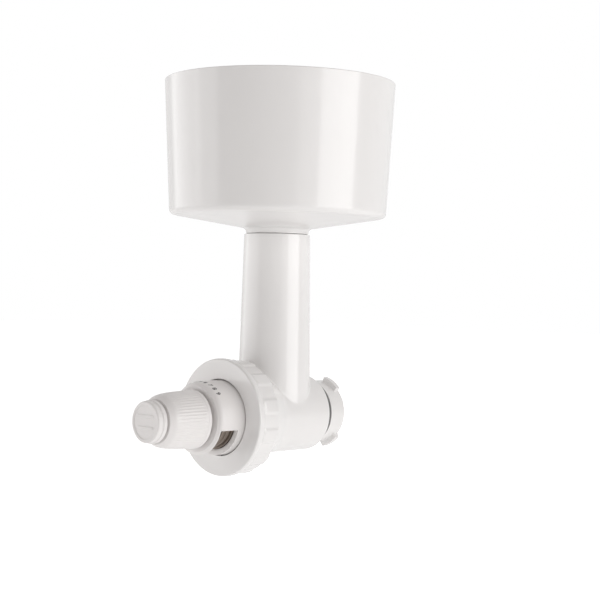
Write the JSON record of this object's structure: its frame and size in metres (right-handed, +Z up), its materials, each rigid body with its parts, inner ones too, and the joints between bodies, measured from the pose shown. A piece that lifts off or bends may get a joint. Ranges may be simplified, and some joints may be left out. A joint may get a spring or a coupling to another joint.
{
  "type": "grain mill attachment",
  "caption": "Conical-burr grain mill attachment: round hopper on an upright throat, horizontal barrel with plug-in hub, ring nut, open-bottomed grinding head and grind-setting knob.",
  "frame": {"origin": "on the drive axis, in the plane of the barrel's rear seat face, where the mill meets the machine", "axes": "+Y along the drive axis into the machine, +Z up the throat towards the hopper, +X to the right seen from the front; the knob looks towards -Y"},
  "size_m": [0.1278, 0.1567, 0.2151],
  "materials": {
    "white_plastic": "glossy moulded white plastic",
    "auger_plastic": "satin moulded ivory plastic",
    "coupling_plastic": "satin black glass-filled plastic",
    "acetal": "satin natural acetal",
    "burr_steel": "hardened steel, turned and ground",
    "bright_steel": "drawn bright steel",
    "spring_steel": "oiled spring steel",
    "brass": "turned brass",
    "bronze": "sintered bronze",
    "grey_rubber": "dark grey food-safe rubber"
  },
  "bodies": {
    "mill": {"mill_housing": "white_plastic", "rear_bush": "bronze", "shaft_seal": "grey_rubber", "hub_sealing_ring": "grey_rubber"},
    "hopper_unit": {"hopper": "white_plastic", "hopper_seal": "grey_rubber"},
    "drive_train": {"drive_shaft": "bright_steel", "feed_auger": "auger_plastic", "thrust_washer": "acetal", "shaft_circlip": "spring_steel", "burr_spring": "spring_steel", "drive_coupling": "coupling_plastic", "coupling_screw": "bright_steel"},
    "grinding_head": {"head_casing": "white_plastic", "outer_burr": "burr_steel", "burr_key_left": "bright_steel", "burr_key_right": "bright_steel", "head_gasket": "grey_rubber", "spindle_bush": "brass", "knob_retaining_ring": "spring_steel", "detent_ball": "bright_steel", "detent_spring": "spring_steel"},
    "ring_nut_body": {"ring_nut": "white_plastic"},
    "knob": {"adjusting_knob": "white_plastic", "adjuster_nut": "brass", "knob_cap": "white_plastic"},
    "spindle": {"thrust_spindle": "bright_steel", "thrust_ball": "bright_steel"},
    "burr_rotor": {"inner_burr": "burr_steel"}
  },
  "joints": [
    {"name": "hopper_lift", "type": "slide", "parent": "mill", "child": "hopper_unit", "axis": [0, 0, 1], "range_m": [0, 0.05]},
    {"name": "drive_spin", "type": "hinge", "parent": "mill", "child": "drive_train", "pos_m": [0, -0.03, 0], "axis": [0, -1, 0], "continuous": true},
    {"name": "head_release", "type": "slide", "parent": "mill", "child": "grinding_head", "axis": [0, -1, 0], "range_m": [0, 0.008]},
    {"name": "ring_nut_turn", "type": "hinge", "parent": "grinding_head", "child": "ring_nut_body", "pos_m": [0, -0.058, 0], "axis": [0, -1, 0], "range_deg": [0, 720]},
    {"name": "knob_turn", "type": "hinge", "parent": "grinding_head", "child": "knob", "pos_m": [0, -0.098, 0], "axis": [0, -1, 0], "range_deg": [-44, 44]},
    {"name": "spindle_slide", "type": "slide", "parent": "grinding_head", "child": "spindle", "axis": [0, 1, 0], "range_m": [-0.0006, 0.0006]},
    {"name": "rotor_slide", "type": "slide", "parent": "drive_train", "child": "burr_rotor", "axis": [0, 1, 0], "range_m": [-0.0006, 0.0006], "deforming": ["burr_spring"]}
  ],
  "couplings": [
    {"joint": "ring_nut_turn", "follows": "head_release", "rad_per_m": 1570.8},
    {"joint": "knob_turn", "follows": "spindle_slide", "rad_per_m": -1279},
    {"joint": "rotor_slide", "follows": "spindle_slide", "ratio": 1}
  ]
}
